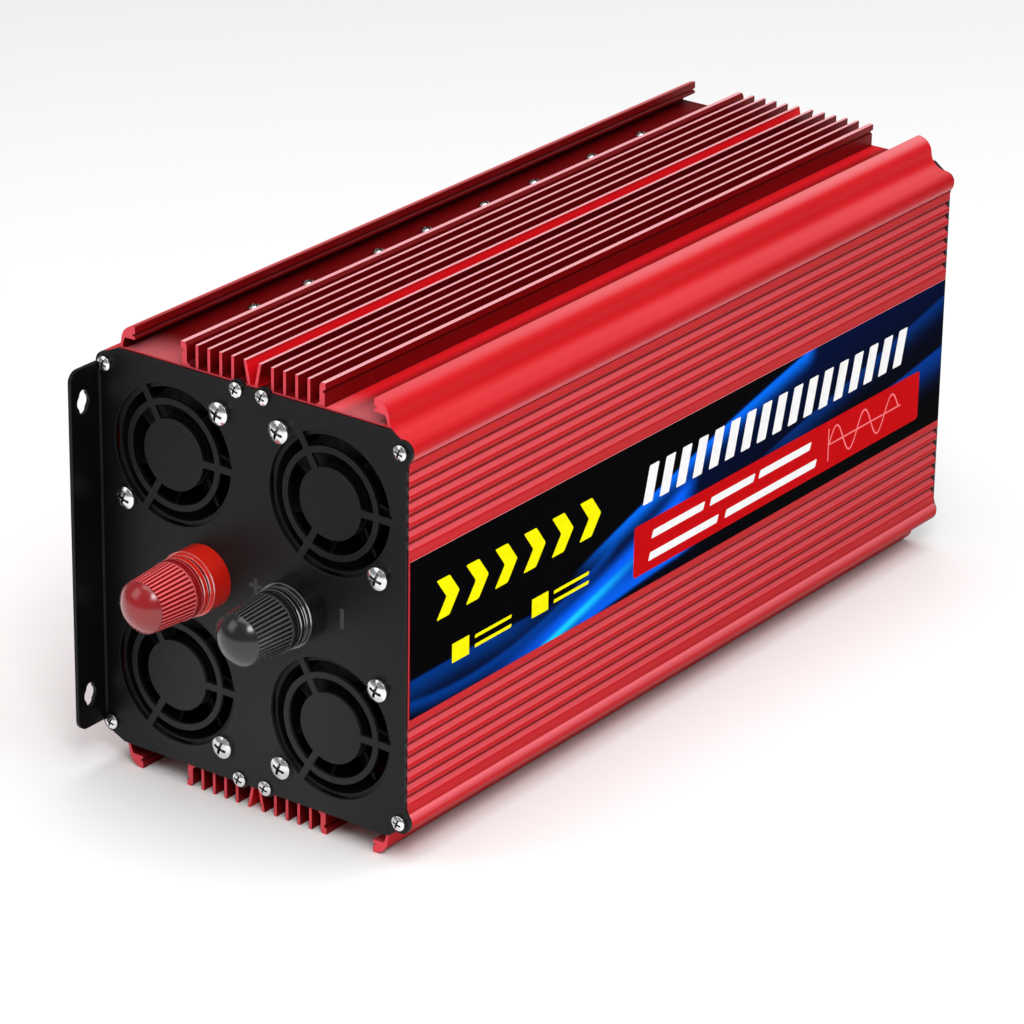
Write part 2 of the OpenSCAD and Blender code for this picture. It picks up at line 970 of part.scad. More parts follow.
module outlet_contacts() {
    color([0.8, 0.66, 0.32])
        placed()
            for (x = [-out_x, out_x]) {
                for (s = [-1, 1]) {
                    for (k = [-1, 1])
                        box([x + s * 6.35 + k * 1.7 - 0.4, y_rear - 22, -0.8],
                            [x + s * 6.35 + k * 1.7 + 0.4, y_rear - 5, 8.4]);
                    box([x + s * 6.35 - 2.1, y_rear - 31, -0.8], [x + s * 6.35 + 2.1, y_rear - 22, 8.4]);
                }
                difference() {
                    rod(x, -8.3, y_rear - 31, y_rear - 5, 3.6, 32);
                    rod(x, -8.3, y_rear - 22, y_rear - 4, 2.6, 32);
                }
            }
}

module switch_housing() {
    yo = y_rear;
    color([0.06, 0.06, 0.06])
        placed()
            difference() {
                union() {
                    box([-12.8, yo, sw_z - 15.8], [12.8, yo + 2, sw_z + 15.8]);
                    box([-10.7, yo - 15, sw_z - 13.9], [10.7, yo, sw_z + 13.9]);
                    for (z = [-8, 0, 8])
                        box([-3.2, yo - 24, sw_z + z - 0.4], [3.2, yo - 14, sw_z + z + 0.4]);
                }
                box([-8.5, yo - 12.5, sw_z - 12.1], [8.5, yo + 3, sw_z + 12.1]);
                translate([-10.2, yo - 2.5, sw_z])
                    rotate([0, 90, 0])
                        cylinder(h = 20.4, r = 1.5 + fit, $fn = 28);
            }
}

module switch_rocker() {
    color([0.75, 0.04, 0.04])
        placed()
            translate([0, y_rear - 2.5, sw_z])
                rotate([-tilt, 0, 0]) {
                    rotate([90, 0, 90])
                        translate([0, 0, -8.2])
                            linear_extrude(height = 16.4)
                                rocker_2d();
                    translate([-9.9, 0, 0])
                        rotate([0, 90, 0])
                            cylinder(h = 19.8, r = 1.5, $fn = 28);
                }
}

module rocker_2d() {
    intersection() {
        circle(r = 11.8, $fn = 72);
        polygon([[-4, -12], [3.2, -12], [4.9, -10.9], [3.7, -5], [3.3, 0], [3.7, 5],
                 [4.9, 10.9], [3.2, 12], [-4, 12]]);
    }
}

module status_lights() {
    color([0.3, 0.85, 0.3])
        placed()
            for (s = [-1, 1]) {
                rod(s * 7, -13, y_rear - 6, y_rear + 1, 2.45, 28);
                translate([s * 7, y_rear + 1, -13])
                    sphere(r = 2.45, $fn = 28);
                rod(s * 7, -13, y_rear - 7, y_rear - 1.7, 2.9, 28);
            }
}

module usb_port() {
    color([0.75, 0.75, 0.77])
        placed() {
            difference() {
                box([-7.2, y_rear - 14, -32.7], [7.2, y_rear + 0.6, -25.3]);
                box([-6.2, y_rear - 10, -31.5], [6.2, y_rear + 2, -26.5]);
            }
            box([-5.6, y_rear - 11, -28.2], [5.6, y_rear - 1, -26.9]);
        }
}

module ac_leads() {
    color([0.1, 0.1, 0.6])
        placed()
            for (x = [-out_x - 6.35, out_x + 6.35]) {
                rod(x, 3.8, y_rear - 44, y_rear - 31.2, 1.6, 24);
                translate([x, y_rear - 42.4, -board_z + 1])
                    cylinder(h = board_z + 2.8, r = 1.6, $fn = 24);
            }
}

upper_shell();
lower_shell();
front_plate();
rear_plate();
side_label();
end_plate_screws();
fan_screws();
fan_nuts();
fan_frame_ul();
fan_frame_ur();
fan_frame_ll();
fan_frame_lr();
fan_rotor_ul();
fan_rotor_ur();
fan_rotor_ll();
fan_rotor_lr();
fan_stators();
red_base();
black_base();
red_stud();
black_stud();
red_ring();
black_ring();
red_knob();
black_knob();
red_insert();
black_insert();
terminal_nuts();
positive_bus();
negative_bus();
lower_board();
upper_board();
board_spacers();
board_screws();
core_front_lower();
core_rear_lower();
core_front_upper();
core_rear_upper();
winding_front_lower();
winding_rear_lower();
winding_front_upper();
winding_rear_upper();
input_capacitors();
link_capacitors();
lower_transistors();
upper_transistors();
lower_clamp_bar();
upper_clamp_bar();
clamp_screws();
blade_fuses();
output_choke();
outlet_left();
outlet_right();
outlet_contacts();
switch_housing();
switch_rocker();
status_lights();
usb_port();
ac_leads();
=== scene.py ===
"""Looks of the power inverter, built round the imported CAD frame."""

import json
import math

import bmesh
import bpy
from mathutils import Matrix, Vector


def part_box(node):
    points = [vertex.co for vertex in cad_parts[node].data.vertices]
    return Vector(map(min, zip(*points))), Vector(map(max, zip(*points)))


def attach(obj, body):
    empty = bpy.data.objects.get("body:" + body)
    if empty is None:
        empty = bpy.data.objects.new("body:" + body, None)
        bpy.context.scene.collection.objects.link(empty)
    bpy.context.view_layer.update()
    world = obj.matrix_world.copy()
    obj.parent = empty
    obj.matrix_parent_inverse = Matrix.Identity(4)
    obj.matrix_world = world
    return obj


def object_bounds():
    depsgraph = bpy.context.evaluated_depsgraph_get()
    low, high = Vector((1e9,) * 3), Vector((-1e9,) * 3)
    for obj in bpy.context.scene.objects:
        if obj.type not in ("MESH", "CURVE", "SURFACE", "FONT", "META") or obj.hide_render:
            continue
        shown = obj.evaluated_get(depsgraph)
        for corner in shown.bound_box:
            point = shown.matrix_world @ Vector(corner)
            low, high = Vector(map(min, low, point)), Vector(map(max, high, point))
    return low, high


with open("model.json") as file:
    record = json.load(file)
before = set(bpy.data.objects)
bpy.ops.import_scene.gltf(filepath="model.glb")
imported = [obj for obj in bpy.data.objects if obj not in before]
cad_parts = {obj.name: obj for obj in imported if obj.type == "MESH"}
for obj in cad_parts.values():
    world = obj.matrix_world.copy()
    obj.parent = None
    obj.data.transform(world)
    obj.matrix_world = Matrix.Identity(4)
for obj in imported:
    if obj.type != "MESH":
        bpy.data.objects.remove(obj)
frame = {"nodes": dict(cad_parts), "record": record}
cad_low, cad_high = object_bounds()
nodes = frame["nodes"]
scene = bpy.context.scene
MM = 0.001

# ---- camera ------------------------------------------------------------------

CAMERA_AT = Vector((1.10570, -1.53331, 0.89406))
CAMERA_TO = Vector((0.03295, -0.05536, 0.09807))
CAMERA_ROLL = math.radians(0.868)
SENSOR_MM = 36.0
LENS_MM = 165.73
CLIP_NEAR = 0.05
CLIP_FAR = 60.0


def make_camera():
    data = bpy.data.cameras.new("camera")
    data.sensor_width = SENSOR_MM
    data.lens = LENS_MM
    data.clip_start = CLIP_NEAR
    data.clip_end = CLIP_FAR
    camera = bpy.data.objects.new("camera", data)
    scene.collection.objects.link(camera)
    turn = (CAMERA_TO - CAMERA_AT).to_track_quat("-Z", "Y").to_matrix().to_4x4()
    camera.matrix_world = (
        Matrix.Translation(CAMERA_AT) @ turn @ Matrix.Rotation(CAMERA_ROLL, 4, "Z")
    )
    scene.camera = camera


make_camera()
scene.view_settings.view_transform = "Standard"
scene.view_settings.look = "None"


# ---- materials ---------------------------------------------------------------

# how far a rounded normal leans from the flat one, as a cosine, where an edge starts and is full
EDGE_FROM = 0.985
EDGE_FULL = 0.86


class Finish:
    """A procedural material, with short calls for the nodes that it is made of."""

    def __init__(self, name, colour, rough, metal=0.0, **sockets):
        self.material = bpy.data.materials.new(name)
        self.material.use_nodes = True
        self.tree = self.material.node_tree
        self.bsdf = self.tree.nodes["Principled BSDF"]
        self.set("Base Color", (*colour, 1.0))
        self.set("Roughness", rough)
        self.set("Metallic", metal)
        for socket, value in sockets.items():
            self.set(socket.replace("_", " "), value)
        self.coords = self.add("ShaderNodeTexCoord").outputs["Object"]
        self.normal = None

    def add(self, kind, **settings):
        node = self.tree.nodes.new(kind)
        for key, value in settings.items():
            setattr(node, key, value)
        return node

    def link(self, source, target):
        self.tree.links.new(source, target)

    def put(self, socket, value):
        """Puts a number, a colour or another node's output into a socket."""
        if isinstance(value, bpy.types.NodeSocket):
            self.link(value, socket)
        else:
            socket.default_value = value

    def set(self, socket, value):
        self.put(self.bsdf.inputs[socket], value)

    def stretched(self, scale):
        node = self.add("ShaderNodeMapping")
        self.link(self.coords, node.inputs["Vector"])
        node.inputs["Scale"].default_value = scale
        return node.outputs["Vector"]

    def noise(self, scale, detail=2.0, stretch=None):
        node = self.add("ShaderNodeTexNoise")
        self.link(self.stretched(stretch) if stretch else self.coords, node.inputs["Vector"])
        node.inputs["Scale"].default_value = scale
        node.inputs["Detail"].default_value = detail
        return node.outputs["Fac"]

    def span(self, value, low, high, to_low=0.0, to_high=1.0, smooth=False):
        """Maps low..high to to_low..to_high, and holds the end values outside it."""
        node = self.add("ShaderNodeMapRange")
        if smooth:
            node.interpolation_type = "SMOOTHSTEP"
        for socket, number in zip(node.inputs[:5], (value, low, high, to_low, to_high)):
            self.put(socket, number)
        return node.outputs["Result"]

    def math(self, operation, a, b=0.0, c=0.0):
        node = self.add("ShaderNodeMath", operation=operation)
        for socket, number in zip(node.inputs, (a, b, c)):
            self.put(socket, number)
        return node.outputs["Value"]

    def both(self, first, *others):
        """The product of two or more masks, which is 1 only where they all are."""
        for other in others:
            first = self.math("MULTIPLY", first, other)
        return first

    def mix(self, factor, a, b):
        node = self.add("ShaderNodeMix", data_type="RGBA")
        self.put(node.inputs["Factor"], factor)
        for socket, colour in ((node.inputs["A"], a), (node.inputs["B"], b)):
            if not isinstance(colour, bpy.types.NodeSocket) and len(colour) == 3:
                colour = (*colour, 1.0)
            self.put(socket, colour)
        return [s for s in node.outputs if s.type == "RGBA"][0]

    def parts(self, vector):
        node = self.add("ShaderNodeSeparateXYZ")
        self.link(vector, node.inputs["Vector"])
        return node.outputs["X"], node.outputs["Y"], node.outputs["Z"]

    def axes(self):
        """Where a point is, in the frame."""
        return self.parts(self.coords)

    def facing(self):
        """Which way the surface faces."""
        return self.parts(self.add("ShaderNodeNewGeometry").outputs["Normal"])

    def soft_edges(self, radius, samples=4):
        """Rounds the look of every edge, and returns how near a point is to an edge."""
        bevel = self.add("ShaderNodeBevel", samples=samples)
        bevel.inputs["Radius"].default_value = radius
        self.normal = bevel.outputs["Normal"]
        dot = self.add("ShaderNodeVectorMath", operation="DOT_PRODUCT")
        self.link(self.normal, dot.inputs[0])
        self.link(self.add("ShaderNodeNewGeometry").outputs["Normal"], dot.inputs[1])
        return self.span(dot.outputs["Value"], EDGE_FROM, EDGE_FULL)

    def bump(self, height, strength, depth):
        node = self.add("ShaderNodeBump")
        self.link(height, node.inputs["Height"])
        node.inputs["Strength"].default_value = strength
        node.inputs["Distance"].default_value = depth
        if self.normal:
            self.link(self.normal, node.inputs["Normal"])
        self.normal = node.outputs["Normal"]

    def done(self):
        if self.normal:
            self.link(self.normal, self.bsdf.inputs["Normal"])
        return self.material


# where the case's features lie, from its middle line and its middle height
DECK_TOP = 89.4 * MM
DIP_TOP = 91.0 * MM
FIN_HALF_WIDTH = 37.2 * MM
FIN_TOP = 99.6 * MM
VEE_HALF_WIDTH = 3.5 * MM
WING_FOOT = 66.0 * MM
WING_LIP = 60.6 * MM
NOSE_FOOT = 77.2 * MM
NOSE_TOP = 84.0 * MM


def red_anodised():
    """The case's dyed extrusion, with painted light and shade on its fins, deck, wings, noses and
    side waves.
    """
    low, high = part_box("upper_shell")
    label_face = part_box("side_label")[1].x
    middle = (low.x + high.x) / 2
    side = label_face - middle
    f = Finish("red_anodised", (0.60, 0.006, 0.011), 0.46, 0.16, Specular_IOR_Level=0.09,
               Coat_Roughness=0.30, Coat_IOR=1.5)
    f.soft_edges(0.30 * MM)
    x, y, z = f.axes()
    drawn = f.noise(1.0, 3.0, (2600, 9, 2600))
    grain = f.noise(2400, 2.0)
    cloud = f.noise(14, 2.0)
    colour = f.mix(f.span(cloud, 0.3, 0.7), (0.585, 0.006, 0.011), (0.625, 0.008, 0.014))
    colour = f.mix(f.span(drawn, 0.35, 0.7, 0.0, 0.22), colour, (0.44, 0.003, 0.006))
    colour = f.mix(f.span(grain, 0.62, 0.72, 0.0, 0.14), colour, (0.90, 0.09, 0.12))
    # where a point is: in the side waves, between the fins, on the deck, on a wing or a nose
    across = f.math("ABSOLUTE", f.math("SUBTRACT", x, middle))
    height = f.math("ABSOLUTE", f.math("SUBTRACT", z, low.z))
    above = f.span(height, DECK_TOP - 0.4 * MM, DECK_TOP)
    outside = f.span(across, side - 2.2 * MM, side - 1.9 * MM)
    ribs = f.both(f.span(height, NOSE_FOOT, NOSE_FOOT - 0.4 * MM), outside)
    hollow = f.span(across, side - 0.71 * MM, side - 0.96 * MM)
    fins = f.both(f.span(across, FIN_HALF_WIDTH + 0.4 * MM, FIN_HALF_WIDTH - 0.3 * MM), above)
    valley = f.both(f.span(height, FIN_TOP - 1.6 * MM, DECK_TOP + 0.6 * MM), above)
    deck = f.both(f.span(height, DIP_TOP, DIP_TOP - 0.6 * MM), above,
                  f.span(across, FIN_HALF_WIDTH, FIN_HALF_WIDTH + 0.2 * MM),
                  f.span(across, WING_FOOT + 0.2 * MM, WING_FOOT - 0.2 * MM))
    beside_fins = f.span(across, FIN_HALF_WIDTH + 14.8 * MM, FIN_HALF_WIDTH + 0.8 * MM, 0.0, 0.5)
    left = f.span(x, middle + 30 * MM, middle - 36 * MM, 0.0, 0.80)
    right = f.span(x, middle + 41 * MM, middle + 47 * MM, 0.0, 0.88)
    wing = f.math("MAXIMUM", f.span(across, WING_FOOT + 3.0 * MM, WING_FOOT + 3.5 * MM),
                  f.span(height, DIP_TOP + 0.2 * MM, DIP_TOP + 0.6 * MM))
    shoulder = f.both(f.span(across, WING_LIP - 0.2 * MM, WING_LIP + 0.2 * MM),
                      f.span(height, NOSE_TOP - 1 * MM, DIP_TOP + 1 * MM), wing)
    far = f.span(y, low.y, high.y, 0.30, 0.90)
    near_end = f.span(y, low.y + 26 * MM, low.y + 1 * MM, 0.0, 0.42, smooth=True)
    far_wing = f.both(f.span(x, middle - 50 * MM, middle - 52 * MM), above)
    nose = f.both(outside, f.span(height, NOSE_TOP + 2 * MM, NOSE_TOP))
    lip = f.both(outside, f.span(height, NOSE_FOOT, NOSE_FOOT + 0.3 * MM),
                 f.span(height, NOSE_TOP - 3.4 * MM, NOSE_TOP - 6 * MM))
    vee = f.span(across, VEE_HALF_WIDTH - 0.6 * MM, VEE_HALF_WIDTH)
    in_vee = f.span(across, VEE_HALF_WIDTH, VEE_HALF_WIDTH - 0.6 * MM, 0.0, 0.35)
    # which way it faces: painted highlight makes flanks that face up pale pink, and painted shade
    # darkens faces that turn down
    turn_x, turn_y, up = f.facing()
    flank = f.math("MAXIMUM", f.span(up, 0.50, 0.76), f.both(hollow, f.span(up, -0.02, 0.20)))
    flank = f.both(flank, ribs)
    root = f.both(hollow, ribs, f.span(up, 0.16, -0.04))
    under = f.span(up, -0.05, -0.60)
    cut = f.span(f.math("ABSOLUTE", turn_y), 0.8, 0.95)
    tip = f.both(f.span(height, FIN_TOP - 0.3 * MM, FIN_TOP), f.span(up, 0.8, 0.95), fins)
    sheen = f.both(shoulder, far, f.span(up, 0.60, 1.0, smooth=True))
    for weight, tint in (
        # painted light: the deck is painted a brighter red beside the fins
        (f.both(deck, beside_fins), (0.80, 0.010, 0.018)),
        # painted shade on the right deck, out towards the wing
        (f.both(deck, right), (0.09, 0.0005, 0.0010)),
        # painted light: a brighter red down in the vee at the middle
        (f.both(fins, in_vee), (0.98, 0.006, 0.013)),
        # painted shade over the fins and the gaps between them, outside the vee
        (f.both(fins, vee, 0.84), (0.10, 0.0005, 0.001)),
        # painted shade low on the left side, over the left deck and fin gaps, fading out towards
        # the right
        (f.both(valley, left), (0.09, 0.0005, 0.001)),
        # painted sheen, pale pink, on the upward faces of the wings and noses, stronger towards
        # the far end
        (sheen, (0.80, 0.20, 0.22)),
        # painted shade on the far wing, except on faces that turn outwards
        (f.both(far_wing, f.span(turn_x, -0.28, 0.02), 0.80), (0.10, 0.0006, 0.0012)),
        # painted reflection, pale pink, on the deck near the front end
        (f.both(deck, near_end), (0.90, 0.22, 0.25)),
        # painted shade on faces that turn down
        (f.both(under, 0.60), (0.12, 0.0006, 0.001)),
        # painted highlight, pink, along the lower part of each nose
        (f.both(lip, 0.80), (0.99, 0.20, 0.24)),
        # painted highlight, pale pink, on the side waves' upward flanks
        (f.both(flank, 0.80), (0.90, 0.115, 0.140)),
        # painted shade, near black, down in the roots of the side waves
        (f.both(root, 0.92), (0.16, 0.0002, 0.0005)),
        # painted highlight, pinkish white, on the fin tips
        (f.both(tip, 0.80), (0.99, 0.46, 0.50)),
        # painted highlight: the end faces are painted a brighter red
        (f.both(cut, 0.75), (0.92, 0.09, 0.12)),
        # painted shade on the noses, darker towards the far end
        (f.both(nose, f.span(y, low.y, high.y, 0.10, 0.32)), (0.16, 0.001, 0.002)),
    ):
        colour = f.mix(weight, colour, tint)
    f.set("Base Color", colour)
    f.set("Coat Weight", f.span(flank, 0.0, 1.0, 0.07, 0.12))
    f.set("Roughness", f.math("ADD", f.span(grain, 0.3, 0.7, 0.42, 0.54),
                              f.span(drawn, 0.3, 0.7, -0.03, 0.04)))
    f.bump(grain, 0.22, 0.05 * MM)
    f.bump(drawn, 0.12, 0.03 * MM)
    return f.done()


def black_sheet():
    """Powder-coated sheet of the end plates."""
    low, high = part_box("front_plate")
    # the painted reflection fades out over this distance towards each side
    reflection_fade = 60 * MM
    f = Finish("black_sheet", (0.004, 0.004, 0.004), 0.40, 0.0, Specular_IOR_Level=0.18)
    edge = f.soft_edges(0.30 * MM)
    x, _, z = f.axes()
    peel = f.noise(1100, 2.0)
    cloud = f.noise(22, 3.0)
    # painted reflection: the powder coat is painted a little paler towards the lower middle
    painted_reflection = f.both(f.span(z, high.z, low.z, smooth=True),
                  f.span(x, low.x, low.x + reflection_fade, smooth=True),
                  f.span(x, high.x, high.x - reflection_fade, 0.35, 1.0, smooth=True))
    painted_reflection = f.span(f.math("ADD", painted_reflection, f.both(cloud, 0.15)), 0.1, 1.0)
    colour = f.mix(painted_reflection, (0.0020, 0.0020, 0.0023), (0.018, 0.018, 0.0185))
    colour = f.mix(f.both(edge, 0.45), colour, (0.08, 0.08, 0.085))
    f.set("Base Color", colour)
    f.set("Roughness", f.span(peel, 0.3, 0.7, 0.36, 0.50))
    f.bump(peel, 0.20, 0.04 * MM)
    return f.done()


def moulded(name, dark, light, rough, spec=0.5, coat=0.0, grain_scale=1500, grain=0.12,
            edge_mm=0.25):
    """Moulded plastic, slightly cloudy, with a fine grain."""
    f = Finish(name, light, rough, 0.0, Specular_IOR_Level=spec, Coat_Weight=coat,
               Coat_Roughness=0.06)
    f.soft_edges(edge_mm * MM, 8)
    fine = f.noise(grain_scale, 2.0)
    f.set("Base Color", f.mix(f.span(f.noise(60, 3.0), 0.35, 0.65), dark, light))
    f.set("Roughness", f.span(fine, 0.3, 0.7, rough - 0.05, rough + 0.07))
    f.bump(fine, grain, 0.04 * MM)
    return f.done()


def from_axis(f, low, high):
    """Where a point is on a turned piece: out from its axis, along it, across and up from it."""
    x, y, z = f.axes()
    dx = f.math("SUBTRACT", x, (low.x + high.x) / 2)
    dz = f.math("SUBTRACT", z, (low.z + high.z) / 2)
    out = f.math("SQRT", f.math("ADD", f.both(dx, dx), f.both(dz, dz)))
    return out, y, dx, dz


# the flat faces between the base, the ring and the knob get painted shade inside this radius
GAP_RADIUS = 12.6 * MM
# the direction, across and up, in which the rims' painted highlight is brightest
GLINT_ACROSS, GLINT_UP = 0.95, 0.31
# along a knob from its tip: where the flutes start and end, and the collar's back edge
FLUTES_START = 5.9 * MM
FLUTES_END = 25.9 * MM
COLLAR_BACK = 28.6 * MM
# the radius of the fluted cone at its two ends
CONE_FRONT = 11.3 * MM
CONE_BACK = 12.8 * MM


def turned(name, node, rims, dark, light, gap, rim, glint):
    """Glossy moulded plastic, with a painted highlight and glint round its rims, and painted shade
    on the faces in the gaps.
    """
    low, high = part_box(node)
    f = Finish(name, light, 0.22, 0.0, Specular_IOR_Level=0.4, Coat_Weight=1.0,
               Coat_Roughness=0.06)
    f.soft_edges(0.25 * MM, 8)
    out, y, dx, dz = from_axis(f, low, high)
    colour = f.mix(f.span(f.noise(60, 3.0), 0.35, 0.65), dark, light)
    _, along, _ = f.facing()
    # painted shade on the flat faces in the gaps
    face = f.both(f.span(f.math("ABSOLUTE", along), 0.8, 0.95),
                  f.span(out, GAP_RADIUS, GAP_RADIUS - 0.4 * MM))
    colour = f.mix(f.both(face, 0.95), colour, gap)
    # a painted glint where the rim leans towards that direction
    lean = f.math("ADD", f.both(dx, GLINT_ACROSS), f.both(dz, GLINT_UP))
    lean = f.span(f.math("DIVIDE", lean, out), 0.93, 0.99, smooth=True)
    rim = f.mix(lean, rim, glint)
    # painted highlight along each rim
    for radius, back in rims:
        off = f.math("ABSOLUTE", f.math("SUBTRACT", y, low.y + back))
        near = f.both(f.span(off, 0.50 * MM, 0.20 * MM),
                      f.span(out, radius - 0.5 * MM, radius - 0.25 * MM))
        colour = f.mix(f.both(near, 0.75), colour, rim)
    f.set("Base Color", colour)
    fine = f.noise(400, 2.0)
    f.set("Roughness", f.span(fine, 0.3, 0.7, 0.17, 0.29))
    f.bump(fine, 0.03, 0.04 * MM)
    return f.done()


def fluted(name, node, groove, body, ridge, rough):
    """Moulded plastic of a knob, with painted shade in its flutes and a painted highlight along
    the ridges.
    """
    low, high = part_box(node)
    start, end, back = low.y + FLUTES_START, low.y + FLUTES_END, low.y + COLLAR_BACK
    f = Finish(name, body, rough, 0.0, Coat_Weight=0.4, Coat_Roughness=0.20)
    f.soft_edges(0.15 * MM, 8)
    out, y, _, _ = from_axis(f, low, high)
    depth = f.math("SUBTRACT", f.span(y, start, end, CONE_FRONT, CONE_BACK), out)
    ribbed = f.both(f.span(y, start - 0.2 * MM, start + 0.2 * MM),
                    f.span(y, end - 0.2 * MM, end - 0.6 * MM))
    collar = f.both(f.span(y, back - 0.3 * MM, back),
                    f.span(out, GAP_RADIUS - 0.1 * MM, GAP_RADIUS + 0.1 * MM))
    sleeve = f.both(f.span(y, back, back + 0.15 * MM),
                    f.span(out, GAP_RADIUS - 0.1 * MM, GAP_RADIUS - 0.3 * MM))
    colour = f.mix(f.span(f.noise(60, 3.0), 0.35, 0.65), body, [c * 1.15 for c in body])
    # painted highlight on the ridges and the collar's back edge, painted shade in the flutes and
    # on the sleeve in the gap
    for weight, tint in (
        (f.both(f.span(depth, 0.06 * MM, 0.0), ribbed, 0.85), ridge),
        (f.both(f.span(depth, 0.04 * MM, 0.13 * MM), ribbed, 0.95), groove),
        (f.both(collar, 0.7), ridge),
        (f.both(sleeve, 0.95), groove),
    ):
        colour = f.mix(weight, colour, tint)
    f.set("Base Color", colour)
    fine = f.noise(500, 2.0)
    f.set("Roughness", f.span(fine, 0.3, 0.7, rough - 0.04, rough + 0.05))
    f.bump(fine, 0.04, 0.03 * MM)
    return f.done()


def metal(name, dark, light, rough, lines=(600, 600, 600), edge_to=None, line_depth=0.10):
    """Bare metal with drawn lines, and edges mixed towards a lighter colour if one is given."""
    f = Finish(name, light, rough, 1.0)
    edge = f.soft_edges(0.18 * MM)
    drawn = f.noise(1.0, 3.0, lines)
    cloud = f.noise(90, 3.0)
    colour = f.mix(f.span(cloud, 0.3, 0.7), dark, light)
    if edge_to:
        colour = f.mix(f.both(edge, 0.5), colour, edge_to)
    f.set("Base Color", colour)
    f.set("Roughness", f.span(drawn, 0.25, 0.75, max(0.05, rough - 0.08), rough + 0.10))
    f.bump(drawn, line_depth, 0.02 * MM)
    return f.done()


def plated_screw():
    """Bright plating, with painted shade down in the cross recess and under the head."""
    f = Finish("plated_screw", (0.80, 0.80, 0.81), 0.2, 1.0)
    f.soft_edges(0.22 * MM)
    # painted shade, near black, where ambient occlusion finds the surface hemmed in
    deep = f.add("ShaderNodeAmbientOcclusion", samples=6)
    deep.inputs["Distance"].default_value = 1.6 * MM
    shade = f.span(deep.outputs["AO"], 0.82, 0.45)
    lathe_marks = f.noise(900, 3.0)
    spots = f.noise(240, 3.0)
    colour = f.mix(f.span(spots, 0.35, 0.65), (0.70, 0.70, 0.71), (0.90, 0.90, 0.91))
    colour = f.mix(f.both(shade, 0.95), colour, (0.015, 0.015, 0.016))
    f.set("Base Color", colour)
    f.set("Roughness", f.span(lathe_marks, 0.3, 0.7, 0.10, 0.26))
    f.bump(lathe_marks, 0.10, 0.02 * MM)
    return f.done()


# a band of light on the label fades as this number to the power of minus the distance squared
GLOW_BASE = 2.718


def label_film():
    """The label's dark film, with swept bands of light."""
    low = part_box("side_label")[0]
    f = Finish("label_film", (0.002, 0.002, 0.003), 0.42, 0.0, Specular_IOR_Level=0.004)
    _, y, z = f.axes()
    along = f.math("DIVIDE", f.math("SUBTRACT", y, low.y), MM)
    up = f.math("DIVIDE", f.math("SUBTRACT", z, low.z), MM)
    colour = (0.0006, 0.0006, 0.0010)
    # swept bands of light, in mm from the label's lower near corner: start, end, heights at the
    # start, at the bow and at the end, fall-off above and below, strength, fades and colour
    bands = (
        (148, 401, 33, 77, 79, 1.0, 30.0, 1.00, 0.12, 0.00, (0.0001, 0.004, 0.034)),
        (0, 112, 16.5, 17.5, 15.0, 0.7, 7.0, 0.80, 0.00, 0.50, (0.0005, 0.040, 0.25)),
        (0, 150, 7.0, -4.5, 32, 1.4, 3.5, 0.75, 0.00, 0.10, (0.0005, 0.045, 0.30)),
        (245, 401, 29, 43, 61, 0.8, 6.0, 0.80, 0.20, 0.00, (0.0005, 0.030, 0.19)),
        (330, 401, 26, 30, 36, 0.9, 9.0, 0.90, 0.10, 0.00, (0.0005, 0.040, 0.28)),
        (108, 296, 23, 52, 70.6, 0.9, 5.0, 0.95, 0.25, 0.06, (0.0010, 0.150, 0.90)),
        (40, 205, -3, 1, 40, 4.5, 7.0, 0.95, 0.45, 0.10, (0.0010, 0.120, 0.95)),
        (108, 205, -1.5, 5, 7.5, 8.0, 1.2, 0.85, 0.15, 0.20, (0.0010, 0.130, 0.95)),
        (84, 172, -3, 8.2, 20, 1.7, 2.6, 1.00, 0.08, 0.75, (0.0100, 0.620, 1.00)),
    )
    for start, end, z0, z1, z2, above, below, power, rise, fall, tint in bands:
        t = f.span(along, start, end)
        rest = f.math("SUBTRACT", 1.0, t)
        line = f.both(rest, rest, z0)
        line = f.math("MULTIPLY_ADD", f.both(t, rest), 2 * z1, line)
        line = f.math("MULTIPLY_ADD", f.both(t, t), z2, line)
        off = f.math("SUBTRACT", up, line)
        side = f.math("ADD", f.math("DIVIDE", f.math("MAXIMUM", off, 0.0), above),
                      f.math("DIVIDE", f.math("MINIMUM", off, 0.0), below))
        glow = f.math("POWER", GLOW_BASE, f.both(side, side, -1.0))
        inside = f.both(f.math("GREATER_THAN", along, start), f.math("LESS_THAN", along, end))
        glow = f.both(glow, power, inside)
        if rise:
            glow = f.both(glow, f.span(t, 0.0, rise, smooth=True))
        if fall:
            glow = f.both(glow, f.span(t, 1.0, 1.0 - fall, smooth=True))
        colour = f.mix(glow, colour, tint)
    # painted highlight along the film's cut top edge, where it catches the light
    _, _, upward = f.facing()
    f.set("Base Color", f.mix(f.span(upward, 0.7, 0.9), colour, (0.90, 0.36, 0.40)))
    f.set("Roughness", f.span(f.noise(900, 2.0), 0.3, 0.7, 0.38, 0.50))
    f.bump(f.noise(35, 2.0), 0.05, 0.2 * MM)
    return f.done()


def ink(name, dark, light):
    """A printed colour, slightly uneven, with the label's soft sheen."""
    f = Finish(name, light, 0.42, 0.0, Specular_IOR_Level=0.01)
    f.set("Base Color", f.mix(f.span(f.noise(260, 3.0), 0.2, 0.8), dark, light))
    f.set("Roughness", f.span(f.noise(900, 2.0), 0.3, 0.7, 0.38, 0.50))
    return f.done()


# dark and light colours of the terminals' plastics
RED_PLASTIC = ((0.60, 0.010, 0.004), (0.68, 0.015, 0.005))
BLACK_PLASTIC = ((0.004, 0.004, 0.0045), (0.007, 0.007, 0.0075))

